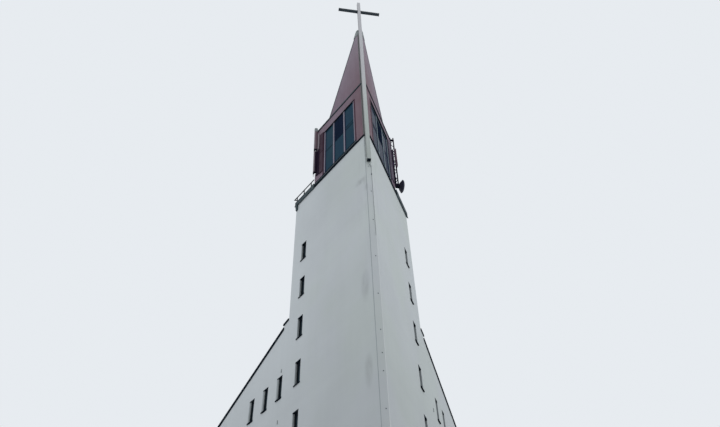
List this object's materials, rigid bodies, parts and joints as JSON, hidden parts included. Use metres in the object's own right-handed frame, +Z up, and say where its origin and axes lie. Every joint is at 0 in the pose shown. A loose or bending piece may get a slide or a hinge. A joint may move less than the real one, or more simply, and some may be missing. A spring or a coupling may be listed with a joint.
{
  "type": "modern church building with a prow tower, belfry and spire, as a 1:2 scale model",
  "caption": "Triangular-plan modern church at half scale: white rendered prow tower, red sheet-clad belfry and spire, mast cross, and one sloping nave roof.",
  "frame": {"origin": "on the ground under the middle of the building's box", "axes": "+Z up, -Y towards the sharp front corner of the tower, +Y towards the wide rear wall, +X to the right seen from the front"},
  "size_m": [17.0692, 14.815, 24.4],
  "materials": {
    "white_render": "matte",
    "concrete": "matte",
    "red_sheet": "satin",
    "dark_sheet": "satin",
    "roof_sheet": "satin",
    "pale_steel": "satin",
    "belfry_frame": "satin",
    "belfry_glass": "gloss",
    "window_glass": "gloss",
    "aerial_cover": "satin",
    "dish_sheet": "satin",
    "door_wood": "satin"
  },
  "bodies": {
    "root": {"ground_floor": "concrete", "tower_front_corner": "white_render", "tower_left_wall": "white_render", "tower_right_wall": "white_render", "tower_back_wall": "white_render", "tower_left_glass": "window_glass", "tower_right_glass": "window_glass", "tower_floor_1": "concrete", "tower_floor_2": "concrete", "tower_floor_3": "concrete", "tower_floor_4": "concrete", "tower_top_slab": "concrete", "nave_left_wall": "white_render", "nave_right_wall": "white_render", "nave_rear_wall": "white_render", "nave_left_glass": "window_glass", "nave_right_glass": "window_glass", "nave_rear_glass": "window_glass", "nave_roof": "roof_sheet", "kerb_capping": "dark_sheet", "verge_capping_left": "dark_sheet", "verge_capping_right": "dark_sheet", "eave_gutter": "dark_sheet", "entrance_frame": "dark_sheet", "entrance_left_door": "door_wood", "entrance_right_door": "door_wood", "coping_left": "dark_sheet", "coping_right": "dark_sheet", "coping_back": "dark_sheet", "corner_hopper": "dark_sheet", "terrace_railing": "pale_steel", "belfry_front_corner": "red_sheet", "belfry_left_wall": "red_sheet", "belfry_right_wall": "red_sheet", "belfry_back_wall": "red_sheet", "belfry_left_frame": "belfry_frame", "belfry_right_frame": "belfry_frame", "belfry_left_panes": "belfry_glass", "belfry_right_panes": "belfry_glass", "belfry_roof": "dark_sheet", "spire_front_corner": "red_sheet", "spire_left_face": "red_sheet", "spire_right_face": "red_sheet", "spire_back_roof": "red_sheet", "spire_cap": "dark_sheet", "mast": "pale_steel", "cross_arm": "dark_sheet", "mast_bracket_1": "dark_sheet", "mast_bracket_2": "dark_sheet", "mast_bracket_3": "dark_sheet", "left_aerial_frame": "pale_steel", "left_aerial_upper": "aerial_cover", "left_aerial_lower": "aerial_cover", "right_aerial_frame": "pale_steel", "right_aerial_post": "pale_steel", "right_aerial_inner": "aerial_cover", "left_aerial_face": "aerial_cover", "right_aerial": "aerial_cover", "right_aerial_face": "aerial_cover", "dish": "dish_sheet"}
  },
  "joints": []
}
